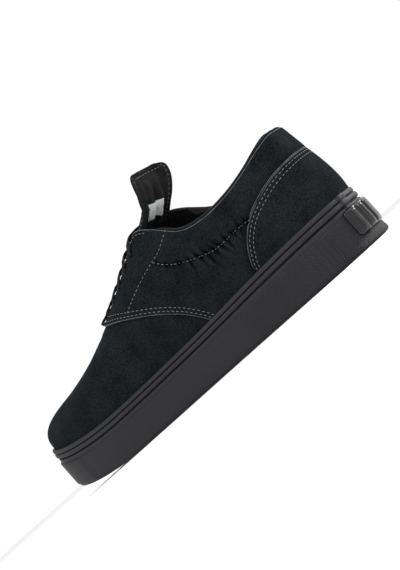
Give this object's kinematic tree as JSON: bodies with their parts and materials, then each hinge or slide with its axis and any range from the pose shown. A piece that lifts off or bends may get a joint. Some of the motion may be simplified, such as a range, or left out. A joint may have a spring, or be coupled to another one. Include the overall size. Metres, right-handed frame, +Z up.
{
  "type": "low-top skateboarding shoe, right foot",
  "caption": "Low-top lace-up skateboarding shoe with padded collar, heel counter overlay, tall banded rubber side wall and lattice-tread gum outsole.",
  "frame": {"origin": "on the ground plane under the middle of the heel, at a crossing of two tread ribs", "axes": "+Y to the toe along the length, +X to the lateral side, +Z up"},
  "size_m": [0.1074, 0.2979, 0.1367],
  "materials": {
    "gum_rubber": "matt brown-grey gum rubber with a lattice tread",
    "black_rubber": "matt charcoal rubber, fine cross-hatch at the heel",
    "gloss_rubber": "glossy black moulded rubber",
    "suede": "black suede with a short nap",
    "lining_cloth": "black woven lining",
    "lace_cloth": "flat black woven lace"
  },
  "bodies": {
    "root": {"outsole": "gum_rubber", "midsole": "black_rubber", "heel_tab": "gloss_rubber", "insole": "lining_cloth", "upper": "suede", "quarters": "suede", "heel_counter": "suede", "collar_lining": "lining_cloth", "tongue": "suede", "lace_bar_1": "lace_cloth", "lace_bar_2": "lace_cloth", "lace_bar_3": "lace_cloth", "lace_bar_4": "lace_cloth", "lace_bar_5": "lace_cloth", "lace_bar_6": "lace_cloth"}
  },
  "joints": []
}
